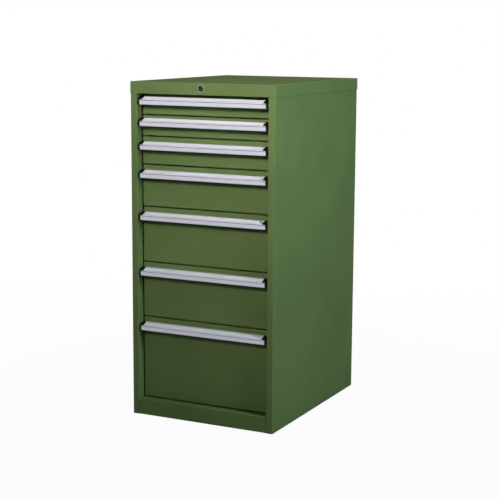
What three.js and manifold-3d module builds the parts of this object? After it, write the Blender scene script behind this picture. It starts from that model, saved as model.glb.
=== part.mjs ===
// Tool cabinet with seven full-extension drawers, one central lock and aluminium grip rails.
// Millimetres, +Z up. The drawers open towards -Y, and the origin is on the floor, midway in the outer box.

import * as THREE from 'three';
import { mergeVertices } from 'three/addons/utils/BufferGeometryUtils.js';
import Module from 'manifold-3d';

const wasm = await Module();
wasm.setup();

// Carcass
const cabinetWidth = 564;
const cabinetDepth = 725;
const frontHeights = [75, 75, 100, 150, 200, 200, 300];
const topRail = 42;
const bottomRail = 58;
const stile = 25;
const recess = 34;
const sheet = 1.5;
const backFlange = 20;
const backUpstand = 30;

// Folds and clearances
const bend = 3;
const bendSteps = 2;
const fit = 0.3;
const overrun = 5;

// Drawers
const frontGap = 3;
const frontRim = 18;
const trayDepth = 612;
const traySheet = 1.2;
const trayRise = 8;
const trayDrop = 12;
const rearDrop = 4;
const hem = 5;

// Roller slides
const slideInset = 64;
const slideSheet = 2;
const slideLip = 10;
const rollerDiameter = 20;
const rollerWidth = 7;
const rollerGap = 0.5;
const rollerSides = 12;
const axleDiameter = 7;
const axleSides = 6;
const slideRise = 14.3;
const carrierSheet = 2.5;
const carrierHeight = 24;
const carrierGap = 2.3;
const carrierClear = 7.7;
const slideTravel = 612;
const stopDepth = 3;
const uprightDepth = 40;
const uprightRearInset = 40;
const weld = 0.5;

// Grip rails
const gripDrops = [11, 11, 18.5, 18.5, 18.5, 18.5, 18.5];
const gripWall = 1.8;
const gripBend = 2.5;
const gripLedge = 11;
const gripNoseInset = 1;
const gripRise = 10.5;
const gripHeight = 27.5;
const gripUndercut = 1.5;
const gripHook = 5;
const gripFlange = 16;
const gripSideGap = 2.8;
const ridgeInset = 2;
const ridgeWall = 0.8;
const ridgeHeight = 2.5;
const ridgeReach = 2;
const ridgeLip = 0.8;
const labelSheet = 1;

// End caps of the grip rails
const capWidth = 7;
const capProud = 0.5;
const capBevel = 1.2;
const capGusset = 10;
const capLug = 9;
const capLugHeight = 3.2;
const capTongue = 12;
const capTongueHeight = 5;

// Lock
const lockDrop = 19;
const lockProud = 2.5;
const lockWall = 2.4;
const lockFlangeReach = 1.5;
const lockLength = 20;
const lockNutWall = 2.7;
const lockNutDepth = 4;
const plugDiameter = 12.6;
const plugSunk = 0.7;
const keySlotWidth = 2;
const keySlotHeight = 8;
const keySlotDepth = 6;
const lockSides = 24;
const camThrow = 8;
const camSheet = 3;
const pinDiameter = 6;
const pinReach = 5;
const barSheet = 2.5;
const barWidth = 14;
const armHeight = 18;
const armOverhang = 14;
const slotPlay = 0.6;
const barPlay = 1;
const fingerWidth = 3;
const fingerHeight = 4;
const fingerRise = 27.5;
const catchGap = 1;
const catchWidth = 2.5;
const catchHeight = 6;
const catchHold = 2.5;

// Places that follow from the sizes above
const openingHeight = frontHeights.reduce((sum, height) => sum + height);
const cabinetHeight = bottomRail + openingHeight + topRail;
const openingTop = bottomRail + openingHeight;
const frontY = (lockProud - cabinetDepth) / 2;
const backY = frontY + cabinetDepth;
const bodyHalf = cabinetWidth / 2 - sheet - fit;
const bodyBack = backY - sheet - fit;
const openingHalf = bodyHalf - stile;
const panelInside = bodyHalf - sheet;
const backInside = bodyBack - sheet - fit;
const panelTop = cabinetHeight - sheet - fit;
const panelY = frontY + recess;
const frontHalf = openingHalf - frontGap;
const trayHalf = openingHalf - carrierClear - carrierSheet - carrierGap - slideLip - slideSheet;
const trayStart = panelY + sheet;
const trayEnd = trayStart + trayDepth;
const slideStart = frontY + slideInset;
const slideEnd = trayEnd + traySheet;
const slideHalfHeight = rollerDiameter / 2 + fit + slideSheet;
const trayLipTip = trayHalf + slideSheet + slideLip;
const carrierInside = trayLipTip + carrierGap;
const carrierOutside = carrierInside + carrierSheet;
const fixedLipTip = carrierOutside + carrierGap;
const fixedWeb = fixedLipTip + slideLip;
const fixedOutside = fixedWeb + slideSheet;
const lockBodyDiameter = plugDiameter + 2 * (fit + lockWall);
const lockFlangeDiameter = lockBodyDiameter + 2 * lockFlangeReach;
const lockNutWidth = lockBodyDiameter + 2 * (fit + lockNutWall);

// Colours of the finished pieces
const greenPaint = new THREE.MeshStandardMaterial({ color: 0x6a8048, roughness: 0.5, metalness: 0.1 });
const drawerPaint = new THREE.MeshStandardMaterial({ color: 0x5d7339, roughness: 0.5, metalness: 0.1 });
const aluminium = new THREE.MeshStandardMaterial({ color: 0xc9c8d2, roughness: 0.35, metalness: 0.9 });
const labelStock = new THREE.MeshStandardMaterial({ color: 0xdcdce2, roughness: 0.4, metalness: 0 });
const blackPlastic = new THREE.MeshStandardMaterial({ color: 0x101112, roughness: 0.55, metalness: 0 });
const zincSteel = new THREE.MeshStandardMaterial({ color: 0xa9adb0, roughness: 0.4, metalness: 0.8 });
const lockMetal = new THREE.MeshStandardMaterial({ color: 0x3c3e40, roughness: 0.35, metalness: 0.8 });
for (const material of [greenPaint, drawerPaint, aluminium, labelStock, blackPlastic, zincSteel, lockMetal]) {
  material.flatShading = true;
}

// Solids from three.js geometry, and back
function solidFrom(geometry) {
  geometry.deleteAttribute('normal');
  geometry.deleteAttribute('uv');
  const merged = mergeVertices(geometry);
  return new wasm.Manifold(new wasm.Mesh({
    numProp: 3,
    vertProperties: new Float32Array(merged.attributes.position.array),
    triVerts: new Uint32Array(merged.index.array),
  }));
}

function geometryFrom(solid) {
  const { vertProperties, triVerts } = solid.getMesh();
  const geometry = new THREE.BufferGeometry();
  geometry.setAttribute('position', new THREE.BufferAttribute(new Float32Array(vertProperties), 3));
  geometry.setIndex(new THREE.BufferAttribute(new Uint32Array(triVerts), 1));
  return geometry;
}

function joined(solids) {
  return solids.reduce((whole, solid) => whole.add(solid));
}

// A block between two limits on each axis
function block([x0, x1], [y0, y1], [z0, z1]) {
  const geometry = new THREE.BoxGeometry(x1 - x0, y1 - y0, z1 - z0);
  geometry.translate((x0 + x1) / 2, (y0 + y1) / 2, (z0 + z1) / 2);
  return solidFrom(geometry);
}

// Outlines run along an axis: (y, z) outlines along x, (x, z) along y and (x, y) along z
const axisX = new THREE.Vector3(1, 0, 0);
const axisY = new THREE.Vector3(0, 1, 0);
const axisZ = new THREE.Vector3(0, 0, 1);
const runFrames = {
  x: new THREE.Matrix4().makeBasis(axisY, axisZ, axisX),
  y: new THREE.Matrix4().makeBasis(axisX, axisZ, axisY.clone().negate()),
  z: new THREE.Matrix4(),
};

function run(outline, axis, [from, to], bevel = 0) {
  const points = outline.map(([a, b]) => new THREE.Vector2(a, b));
  const geometry = new THREE.ExtrudeGeometry(new THREE.Shape(points), {
    depth: to - from - 2 * bevel,
    bevelEnabled: bevel > 0,
    bevelThickness: bevel,
    bevelSize: bevel,
    bevelOffset: -bevel,
    bevelSegments: 1,
  });
  const start = axis === 'y' ? -to : from;
  geometry.translate(0, 0, start + bevel);
  geometry.applyMatrix4(runFrames[axis]);
  return solidFrom(geometry);
}

// The arc that rounds one corner: its centre, and unit spokes to its points
function cornerArc(before, corner, after, radius) {
  const arriving = corner.clone().sub(before).normalize();
  const leaving = after.clone().sub(corner).normalize();
  const turn = Math.atan2(arriving.cross(leaving), arriving.dot(leaving));
  const inward = new THREE.Vector2(-arriving.y, arriving.x).multiplyScalar(Math.sign(turn));
  const reach = radius * Math.tan(Math.abs(turn) / 2);
  const centre = corner.clone().addScaledVector(arriving, -reach).addScaledVector(inward, radius);
  const spokes = [];
  for (let step = 0; step <= bendSteps; step += 1) {
    const spoke = inward.clone().negate();
    spokes.push(spoke.rotateAround(new THREE.Vector2(), (turn * step) / bendSteps));
  }
  return { centre, spokes, turn };
}

function turnOf(before, corner, after) {
  return corner.clone().sub(before).cross(after.clone().sub(corner));
}

// A closed outline whose corners are [a, b] or, rounded, [a, b, radius]
function filleted(corners) {
  const places = corners.map(([a, b]) => new THREE.Vector2(a, b));
  const outline = [];
  corners.forEach(([a, b, radius = 0], i) => {
    if (radius === 0) {
      outline.push([a, b]);
      return;
    }
    const before = places[(i + places.length - 1) % places.length];
    const after = places[(i + 1) % places.length];
    const { centre, spokes } = cornerArc(before, places[i], after, radius);
    for (const spoke of spokes) {
      outline.push([centre.x + radius * spoke.x, centre.y + radius * spoke.y]);
    }
  });
  return outline;
}

// The outline of folded sheet: the path is one face of it, and the metal lies to the path's left
function folded(path, thickness, outerRadius) {
  const places = path.map(([a, b]) => new THREE.Vector2(a, b));
  const near = [];
  const far = [];
  places.forEach((corner, i) => {
    const before = places[i - 1];
    const after = places[i + 1];
    if (!before || !after) {
      const along = before ? corner.clone().sub(before) : after.clone().sub(corner);
      const left = new THREE.Vector2(-along.y, along.x).setLength(thickness);
      near.push([corner.x, corner.y]);
      far.push([corner.x + left.x, corner.y + left.y]);
      return;
    }
    const side = Math.sign(turnOf(before, corner, after));
    const radius = side > 0 ? outerRadius : outerRadius - thickness;
    const { centre, spokes } = cornerArc(before, corner, after, radius);
    const farRadius = radius - side * thickness;
    for (const spoke of spokes) {
      near.push([centre.x + radius * spoke.x, centre.y + radius * spoke.y]);
      far.push([centre.x + farRadius * spoke.x, centre.y + farRadius * spoke.y]);
    }
  });
  return [...near, ...far.reverse()];
}

// The same outline on the left-hand side
function mirroredOutline(outline) {
  return outline.map(([a, b]) => [-a, b]);
}

// A round bar along an axis, from one limit to the other, round a centre given like an outline's point
function roundBar(axis, limits, radius, [a, b], sides) {
  const outline = new THREE.Path().absarc(a, b, radius, 0, 2 * Math.PI).getSpacedPoints(sides);
  outline.pop();
  return run(outline.map((point) => [point.x, point.y]), axis, limits);
}

// The scene graph: one named mesh for each piece
const cabinet = new THREE.Group();

function addPiece(name, solid, material) {
  const mesh = new THREE.Mesh(geometryFrom(solid), material);
  mesh.name = name;
  cabinet.add(mesh);
}

function mirrored(solid) {
  const geometry = geometryFrom(solid);
  geometry.scale(-1, 1, 1);
  const corners = geometry.index.array;
  for (let i = 0; i < corners.length; i += 3) {
    [corners[i + 1], corners[i + 2]] = [corners[i + 2], corners[i + 1]];
  }
  return solidFrom(geometry);
}

function addPair(name, rightSolid, material) {
  addPiece(`${name}_right`, rightSolid, material);
  addPiece(`${name}_left`, mirrored(rightSolid), material);
}

// Side panel: one folded sheet with the front stile, its inner return and a flange at the back
function sidePanel() {
  const outline = folded([
    [openingHalf, panelY],
    [openingHalf, frontY],
    [bodyHalf, frontY],
    [bodyHalf, bodyBack],
    [bodyHalf - backFlange, bodyBack],
  ], sheet, bend);
  const panel = run(outline, 'z', [0, panelTop]);
  const behindRail = block(
    [openingHalf - overrun, bodyHalf - sheet],
    [frontY - overrun, panelY + overrun],
    [openingTop - fit, cabinetHeight],
  );
  const besideRail = block(
    [openingHalf - overrun, bodyHalf + overrun],
    [frontY - overrun, frontY + bend + fit],
    [openingTop - fit, cabinetHeight],
  );
  return panel.subtract(behindRail).subtract(besideRail);
}

// Top: a pan over the side panels, whose front rim is the rail that carries the lock
function topPanel() {
  const half = cabinetWidth / 2;
  const sideways = run(filleted([
    [frontY, openingTop],
    [frontY, cabinetHeight, bend],
    [backY, cabinetHeight, bend],
    [backY, openingTop],
  ]), 'x', [-half, half]);
  const endways = run(filleted([
    [-half, openingTop],
    [-half, cabinetHeight, bend],
    [half, cabinetHeight, bend],
    [half, openingTop],
  ]), 'y', [frontY, backY]);
  const inside = block(
    [-half + sheet, half - sheet],
    [frontY + sheet, backY - sheet],
    [openingTop - overrun, cabinetHeight - sheet],
  );
  const ceiling = block(
    [-openingHalf + fit, openingHalf - fit],
    [frontY, panelY - fit],
    [openingTop, openingTop + sheet],
  );
  const lockHole = roundBar(
    'y',
    [frontY - overrun, frontY + overrun],
    lockBodyDiameter / 2 + fit,
    [0, cabinetHeight - lockDrop],
    lockSides,
  );
  return sideways.intersect(endways).subtract(inside).add(ceiling).subtract(lockHole);
}

// Bottom: one folded sheet with the bottom rail, the floor and an upstand at the back
function basePanel() {
  const outline = folded([
    [panelY - fit, bottomRail],
    [frontY, bottomRail],
    [frontY, 0],
    [backInside, 0],
    [backInside, backUpstand],
  ], sheet, bend);
  const between = run(outline, 'x', [-openingHalf + fit, openingHalf - fit]);
  const floorHalf = panelInside - fit;
  const floor = block([-floorHalf, floorHalf], [panelY + sheet, backInside - bend], [0, sheet]);
  return between.add(floor);
}

// Back: a flat sheet inside the side panels' flanges, over the upstand of the floor
function backPanel() {
  const half = panelInside - bend;
  return block([-half, half], [backInside - sheet, backInside], [backUpstand + fit, panelTop]);
}

// The drawers' places, from the top down
const drawers = frontHeights.map((height, i) => {
  const above = frontHeights.slice(0, i).reduce((sum, front) => sum + front, 0);
  const top = openingTop - above;
  return {
    number: i + 1,
    top: top - frontGap / 2,
    bottom: top - height + frontGap / 2,
    floor: top - height + frontGap / 2 + trayRise,
    grip: top - gripDrops[i],
  };
});

// Slide channel, open towards one side: the path runs round its outer face
function channelOutline(web, lipTip, middle) {
  const path = [
    [lipTip, middle + slideHalfHeight],
    [web, middle + slideHalfHeight],
    [web, middle - slideHalfHeight],
    [lipTip, middle - slideHalfHeight],
  ];
  return folded(web < lipTip ? path : path.reverse(), slideSheet, bend);
}

// Rail frame: two uprights on the side panel, and a fixed channel for each drawer
function railFrame() {
  const uprightFace = fixedOutside - weld;
  const uprightBack = panelInside - fit;
  const rearStart = slideEnd - uprightRearInset;
  const parts = [];
  for (const start of [slideStart, rearStart]) {
    const outline = folded([
      [uprightBack, start],
      [uprightFace, start],
      [uprightFace, start + uprightDepth],
      [uprightBack, start + uprightDepth],
    ].reverse(), slideSheet, bend);
    parts.push(run(outline, 'z', [sheet + fit, openingTop - fit]));
  }
  for (const drawer of drawers) {
    const middle = drawer.floor + slideRise;
    parts.push(run(channelOutline(fixedOutside, fixedLipTip, middle), 'y', [slideStart, slideEnd]));
    const inner = slideHalfHeight - slideSheet + weld;
    parts.push(block(
      [fixedLipTip, fixedWeb + weld],
      [slideStart, slideStart + stopDepth],
      [middle - inner, middle + inner],
    ));
  }
  return joined(parts);
}

// Roller carrier between the fixed channel and the drawer's own: it moves half as far as the drawer
function rollerCarrier(middle) {
  const half = carrierHeight / 2;
  const radius = rollerDiameter / 2;
  const plate = run(filleted([
    [slideStart + stopDepth + fit, middle - half, bend],
    [slideStart + stopDepth + fit, middle + half, bend],
    [slideEnd, middle + half, bend],
    [slideEnd, middle - half, bend],
  ]), 'x', [carrierInside, carrierOutside]);
  const front = slideStart + stopDepth + fit + radius;
  const rear = slideEnd - radius;
  const outerWheels = [rear, front + slideTravel / 2];
  const innerWheels = [front, rear - slideTravel / 2];
  const parts = [plate];
  for (const y of outerWheels) {
    const wheel = [fixedWeb - rollerGap - rollerWidth, fixedWeb - rollerGap];
    parts.push(roundBar('x', wheel, radius, [y, middle], rollerSides));
    const axle = [carrierOutside - weld, wheel[0] + weld];
    parts.push(roundBar('x', axle, axleDiameter / 2, [y, middle], axleSides));
  }
  for (const y of innerWheels) {
    const web = trayHalf + slideSheet;
    const wheel = [web + rollerGap, web + rollerGap + rollerWidth];
    parts.push(roundBar('x', wheel, radius, [y, middle], rollerSides));
    const axle = [wheel[1] - weld, carrierInside + weld];
    parts.push(roundBar('x', axle, axleDiameter / 2, [y, middle], axleSides));
  }
  return joined(parts);
}

// Height range of the lock finger that serves a drawer, with the lock open
function fingerRange(drawer) {
  const low = drawer.floor + fingerRise;
  return [low, low + fingerHeight];
}

// The lock fingers' tips clear the carriers, and their back face. The quarter turn of the cam lifts them
const fingerTip = carrierOutside + fit;
const fingerBack = panelY + frontRim + 2 * barPlay + fingerWidth;
const barTravel = camThrow * Math.SQRT2;

// Drawer: the folded front, the tray behind it, its two slide channels and the catch for the lock
function drawerBody(drawer) {
  const sideways = run(filleted([
    [panelY + frontRim, drawer.bottom],
    [panelY, drawer.bottom, bend],
    [panelY, drawer.top, bend],
    [panelY + frontRim, drawer.top],
  ]), 'x', [-frontHalf, frontHalf]);
  const upright = run(filleted([
    [-frontHalf, panelY + frontRim],
    [-frontHalf, panelY, bend],
    [frontHalf, panelY, bend],
    [frontHalf, panelY + frontRim],
  ]), 'z', [drawer.bottom, drawer.top]);
  const hollow = block(
    [-frontHalf + sheet, frontHalf - sheet],
    [panelY + sheet, panelY + frontRim + overrun],
    [drawer.bottom + sheet, drawer.top - sheet],
  );
  const front = sideways.intersect(upright).subtract(hollow);

  const wallTop = drawer.top - trayDrop;
  const inside = trayHalf - traySheet;
  const trayOutline = folded([
    [inside + hem, wallTop],
    [inside, wallTop],
    [inside, drawer.floor + traySheet],
    [-inside, drawer.floor + traySheet],
    [-inside, wallTop],
    [-inside - hem, wallTop],
  ], traySheet, bend);
  const tray = run(trayOutline, 'y', [trayStart - weld, slideEnd]);
  const rear = block(
    [-inside - weld, inside + weld],
    [trayEnd, slideEnd],
    [drawer.floor + weld, wallTop - rearDrop],
  );

  const middle = drawer.floor + slideRise;
  const channel = channelOutline(trayHalf - weld, trayLipTip, middle);
  const length = [slideStart, slideEnd];
  const channels = [channel, mirroredOutline(channel)].map((outline) => run(outline, 'y', length));

  const catchBottom = fingerRange(drawer)[1] + barTravel + catchGap;
  const lockCatch = block(
    [trayHalf - weld, fingerTip + catchHold],
    [fingerBack + catchGap, fingerBack + catchGap + catchWidth],
    [catchBottom, catchBottom + catchHeight],
  );
  return joined([front, tray, rear, ...channels, lockCatch]);
}

// Grip rail: the slope that holds the label, in its own directions along and off the surface
const gripNose = panelY - frontY - gripNoseInset;
const slopeRun = new THREE.Vector2(-(gripNose - gripLedge), -gripRise);
const slopeLength = slopeRun.length();
const slopeAlong = slopeRun.clone().normalize();
const slopeOff = new THREE.Vector2(slopeAlong.y, -slopeAlong.x);
const ridgeTo = ridgeInset + ridgeReach;
const labelFrom = ridgeInset + ridgeWall + fit;

function onSlope(drawer, along, off) {
  const y = panelY - gripLedge + slopeAlong.x * along + slopeOff.x * off;
  const z = drawer.grip + slopeAlong.y * along + slopeOff.y * off;
  return [y, z];
}

// The two ridges that hold the label strip, one at each edge of the slope
function ridgeOutline(drawer, atNose) {
  const points = [
    [ridgeInset, -weld],
    [ridgeInset, ridgeHeight],
    [ridgeTo, ridgeHeight],
    [ridgeTo, ridgeHeight - ridgeLip],
    [ridgeInset + ridgeWall, ridgeHeight - ridgeLip],
    [ridgeInset + ridgeWall, -weld],
  ];
  return points.map(([along, off]) => onSlope(drawer, atNose ? slopeLength - along : along, off));
}

const gripHalf = openingHalf - gripSideGap - capWidth - fit;

function gripRail(drawer) {
  const nose = panelY - gripNose;
  const outline = folded([
    [panelY - fit, drawer.grip - gripFlange],
    [panelY - fit, drawer.grip],
    [panelY - gripLedge, drawer.grip],
    [nose, drawer.grip - gripRise],
    [nose + gripUndercut, drawer.grip - gripHeight],
    [nose + gripUndercut + gripHook, drawer.grip - gripHeight],
  ], gripWall, gripBend);
  const length = [-gripHalf, gripHalf];
  const ridges = [false, true].map((atNose) => run(ridgeOutline(drawer, atNose), 'x', length));
  return joined([run(outline, 'x', length), ...ridges]);
}

// Label strip, held on the slope between the two ridges
function labelStrip(drawer) {
  const half = gripHalf - capLug - fit;
  const outline = [
    onSlope(drawer, labelFrom, fit),
    onSlope(drawer, labelFrom, fit + labelSheet),
    onSlope(drawer, slopeLength - labelFrom, fit + labelSheet),
    onSlope(drawer, slopeLength - labelFrom, fit),
  ];
  return run(outline, 'x', [-half, half]);
}

// End cap: a plate over the rail's end, a lug in the label channel and a tongue under the slope
function endCap(drawer) {
  const nose = panelY - gripNose - capProud;
  const top = drawer.grip + capProud;
  const bottom = drawer.grip - gripHeight - capProud;
  const plate = run(filleted([
    [panelY - fit, top],
    [panelY - gripLedge, top, gripBend],
    [nose, drawer.grip - gripRise + capProud, gripBend],
    [nose + gripUndercut, bottom, gripBend],
    [nose + gripUndercut + capGusset, bottom, gripBend],
    [panelY - fit, drawer.grip - gripFlange],
  ]), 'x', [gripHalf + fit, gripHalf + fit + capWidth], capBevel);

  const lugEdge = ridgeTo + fit;
  const lugShoulder = ridgeHeight - ridgeLip - fit;
  const lugOutline = [
    [labelFrom, fit],
    [labelFrom, lugShoulder],
    [lugEdge, lugShoulder],
    [lugEdge, capLugHeight],
    [slopeLength - lugEdge, capLugHeight],
    [slopeLength - lugEdge, lugShoulder],
    [slopeLength - labelFrom, lugShoulder],
    [slopeLength - labelFrom, fit],
  ].map(([along, off]) => onSlope(drawer, along, off));
  const lug = run(lugOutline, 'x', [gripHalf - capLug, gripHalf + fit + capBevel + weld]);

  const tongueTop = -gripWall - fit;
  const tongueOutline = [
    [labelFrom, tongueTop],
    [slopeLength - labelFrom - gripWall, tongueTop],
    [slopeLength - labelFrom - gripWall, tongueTop - capTongueHeight],
    [labelFrom, tongueTop - capTongueHeight],
  ].map(([along, off]) => onSlope(drawer, along, off));
  const tongue = run(tongueOutline, 'x', [gripHalf - capTongue, gripHalf + fit + capBevel + weld]);
  return joined([plate, lug, tongue]);
}

// Lock barrel: a turned sleeve with a flange, fixed in the top rail by a nut
const lockZ = cabinetHeight - lockDrop;

function turned(profile) {
  const points = profile.map(([radius, y]) => new THREE.Vector2(radius, y));
  points.push(points[0].clone());
  const geometry = new THREE.LatheGeometry(points, lockSides);
  geometry.translate(0, 0, lockZ);
  return solidFrom(geometry);
}

function lockBarrel() {
  const bore = plugDiameter / 2 + fit;
  const body = lockBodyDiameter / 2;
  const flange = lockFlangeDiameter / 2;
  const face = frontY - lockProud;
  const chamfer = lockProud / 3;
  return turned([
    [bore, face],
    [flange - chamfer, face],
    [flange, face + chamfer],
    [flange, frontY - fit],
    [body, frontY - fit],
    [body, frontY + lockLength],
    [bore, frontY + lockLength],
  ]);
}

function lockNut() {
  const back = frontY + sheet + fit;
  const hexagon = [0, 1, 2, 3, 4, 5].map((corner) => {
    const angle = (corner * Math.PI) / 3;
    const reach = lockNutWidth / Math.sqrt(3);
    return [reach * Math.cos(angle), lockZ + reach * Math.sin(angle)];
  });
  const nut = run(hexagon, 'y', [back, back + lockNutDepth]);
  const bore = lockBodyDiameter / 2 + fit;
  const through = [back - overrun, back + lockNutDepth + overrun];
  return nut.subtract(roundBar('y', through, bore, [0, lockZ], lockSides));
}

// Lock plug: the key cylinder, with the cam and its pin on the back end
const camStart = frontY + lockLength + fit;
const camEnd = camStart + camSheet;
const pinX = camThrow / Math.SQRT2;
const pinZ = lockZ - camThrow / Math.SQRT2;

function lockPlug() {
  const face = frontY - lockProud + plugSunk;
  const cylinder = roundBar('y', [face, camEnd], plugDiameter / 2, [0, lockZ], lockSides);
  const keySlot = block(
    [-keySlotWidth / 2, keySlotWidth / 2],
    [face - overrun, face + keySlotDepth],
    [lockZ - keySlotHeight / 2, lockZ + keySlotHeight / 2],
  );
  const camRadius = camThrow + pinDiameter / 2;
  const cam = roundBar('y', [camStart, camEnd], camRadius, [0, lockZ], lockSides);
  const pin = roundBar('y', [camEnd - weld, camEnd + pinReach], pinDiameter / 2, [pinX, pinZ], rollerSides);
  return joined([cylinder.subtract(keySlot), cam, pin]);
}

// Lock bar: an arm that the cam lifts, a folded upright behind the right stile, and a finger for each drawer
function lockBar() {
  const front = camEnd + barPlay;
  const back = front + barSheet;
  const uprightFrom = openingHalf + sheet + fit;
  const uprightTo = uprightFrom + barWidth;
  const armTop = pinZ + armHeight / 2;
  const armBottom = pinZ - armHeight / 2;
  const lowest = fingerRange(drawers[drawers.length - 1])[0];
  const arm = block([-armOverhang, uprightTo], [front, back], [armBottom, armTop]);
  const uprightOutline = folded([
    [uprightFrom, fingerBack],
    [uprightFrom, front],
    [uprightTo, front],
  ], barSheet, bend);
  const upright = run(uprightOutline, 'z', [lowest, armTop]);
  const slotHalfHeight = pinDiameter / 2 + slotPlay;
  const slot = block(
    [pinX - slotHalfHeight, camThrow + slotHalfHeight],
    [front - overrun, back + overrun],
    [pinZ - slotHalfHeight, pinZ + slotHalfHeight],
  );
  const fingerSpan = [fingerTip, uprightFrom + weld];
  const fingers = drawers.map((drawer) => block(
    fingerSpan,
    [fingerBack - fingerWidth, fingerBack],
    fingerRange(drawer),
  ));
  return joined([arm.subtract(slot), upright, ...fingers]);
}

// Assembly
addPair('side_panel', sidePanel(), greenPaint);
addPiece('top_panel', topPanel(), greenPaint);
addPiece('base_panel', basePanel(), greenPaint);
addPiece('back_panel', backPanel(), greenPaint);
addPair('rail_frame', railFrame(), zincSteel);
for (const drawer of drawers) {
  addPiece(`drawer_${drawer.number}`, drawerBody(drawer), drawerPaint);
  addPiece(`grip_rail_${drawer.number}`, gripRail(drawer), aluminium);
  addPiece(`label_strip_${drawer.number}`, labelStrip(drawer), labelStock);
  addPair(`grip_cap_${drawer.number}`, endCap(drawer), blackPlastic);
  addPair(`roller_carrier_${drawer.number}`, rollerCarrier(drawer.floor + slideRise), zincSteel);
}
addPiece('lock_barrel', lockBarrel(), lockMetal);
addPiece('lock_nut', lockNut(), zincSteel);
addPiece('lock_plug', lockPlug(), lockMetal);
addPiece('lock_bar', lockBar(), zincSteel);

export default cabinet;
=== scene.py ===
# Tool cabinet: seven drawers on roller slides in a folded steel carcass, with one central lock.
# The sizes are in millimetres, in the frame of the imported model, and become metres where a mesh is
# made. The front faces -y, and right and left are as seen from there.
import math

import bpy
import numpy as np
from mathutils import Matrix, Vector


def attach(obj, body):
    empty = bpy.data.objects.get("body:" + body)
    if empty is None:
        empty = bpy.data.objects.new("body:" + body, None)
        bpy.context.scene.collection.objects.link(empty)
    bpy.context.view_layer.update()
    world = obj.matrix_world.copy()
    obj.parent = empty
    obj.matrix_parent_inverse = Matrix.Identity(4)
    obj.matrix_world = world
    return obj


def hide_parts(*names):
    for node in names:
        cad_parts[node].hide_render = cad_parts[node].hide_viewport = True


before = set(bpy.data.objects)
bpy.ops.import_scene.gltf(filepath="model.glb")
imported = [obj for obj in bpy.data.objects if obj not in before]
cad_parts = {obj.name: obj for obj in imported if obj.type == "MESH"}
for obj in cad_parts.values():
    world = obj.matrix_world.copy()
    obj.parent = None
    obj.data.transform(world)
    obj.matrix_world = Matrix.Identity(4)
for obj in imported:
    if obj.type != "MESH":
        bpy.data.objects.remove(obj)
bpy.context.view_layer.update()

# Camera: a long lens 4.8 m away, a little higher than the cabinet and to the right of its front.
# Its place and turn come from fitting the photograph's corners and gap lines to the model's sizes.
scene = bpy.context.scene
metre = 0.001
photo_width = 500
focal_pixels = 1308
sensor_width = 36
camera_place = (2148, -4293, 1384)
clip_distance = 100_000
yaw = math.radians(-26.47)
pitch = math.radians(9.62)
roll = math.radians(0.32)

forward = Vector(
    (math.sin(yaw) * math.cos(pitch), math.cos(yaw) * math.cos(pitch), -math.sin(pitch))
)
level = Vector((math.cos(yaw), -math.sin(yaw), 0))
upward = level.cross(forward)
camera_right = math.cos(roll) * level + math.sin(roll) * upward
camera_up = math.cos(roll) * upward - math.sin(roll) * level
camera_turn = Matrix((camera_right, camera_up, -forward)).transposed().to_4x4()
camera = bpy.data.objects.new("camera", bpy.data.cameras.new("camera"))
camera.data.sensor_width = sensor_width
camera.data.lens = focal_pixels / photo_width * sensor_width
camera.data.clip_end = clip_distance * metre
camera.matrix_world = Matrix.Translation([metre * place for place in camera_place]) @ camera_turn
scene.collection.objects.link(camera)
scene.camera = camera
scene.view_settings.view_transform = "Standard"


# Studio: a pale seamless floor under a white surround. A wide lamp with a grid hangs before the
# cabinet, 30 degrees above its top rail, so its light fades towards the floor. A tall strip of
# light stands on the right, and one low lamp each lights the left side and the back.
def colour(hex_value):
    """sRGB hex to linear: each channel over 12.92 near black, else ((channel + 0.055) / 1.055) to
    the power 2.4."""
    srgb = np.array([int(hex_value[i : i + 2], 16) for i in (0, 2, 4)]) / 255
    linear = np.where(srgb <= 0.04045, srgb / 12.92, ((srgb + 0.055) / 1.055) ** 2.4)
    return (*linear.tolist(), 1)


def add(tree, kind, inputs, **settings):
    """Adds one node. Each of inputs is a value for a socket, or the output that is linked to it."""
    made = tree.nodes.new(kind)
    for key, value in settings.items():
        setattr(made, key, value)
    for socket, value in inputs.items():
        if isinstance(value, bpy.types.NodeSocket):
            tree.links.new(value, made.inputs[socket])
        else:
            made.inputs[socket].default_value = value
    return made


def start_material(name):
    """A material without nodes, its tree, and the Object coordinates that its patterns read. These
    are in metres, so the scale of a pattern is how many of its cells go into a metre."""
    made = bpy.data.materials.new(name)
    made.use_nodes = True
    made.node_tree.nodes.clear()
    return made, made.node_tree, add(made.node_tree, "ShaderNodeTexCoord", {}).outputs["Object"]


def seen_directly(tree):
    """The output that is 1 for camera, glossy and transmission rays, and 0 for others: the maximum
    of the three. What they see of the surround and the floor is plain white."""
    path = add(tree, "ShaderNodeLightPath", {}).outputs
    seen = path["Is Camera Ray"]
    for kind in ("Is Glossy Ray", "Is Transmission Ray"):
        seen = add(tree, "ShaderNodeMath", {0: seen, 1: path[kind]}, operation="MAXIMUM").outputs[0]
    return seen


def rectangle(low, high):
    """The corners of a rectangle, from its lowest one round to the left."""
    return np.array([[low[0], low[1]], [high[0], low[1]], [high[0], high[1]], [low[0], high[1]]])


def placed(outline, axis, along):
    """The points of an outline at one place along an axis: (y, z) along x, (x, z) along y and
    (x, y) along z."""
    columns = [outline[:, 0], outline[:, 1]]
    columns.insert("xyz".index(axis), np.full(len(outline), float(along)))
    return np.stack(columns, 1)


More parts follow.
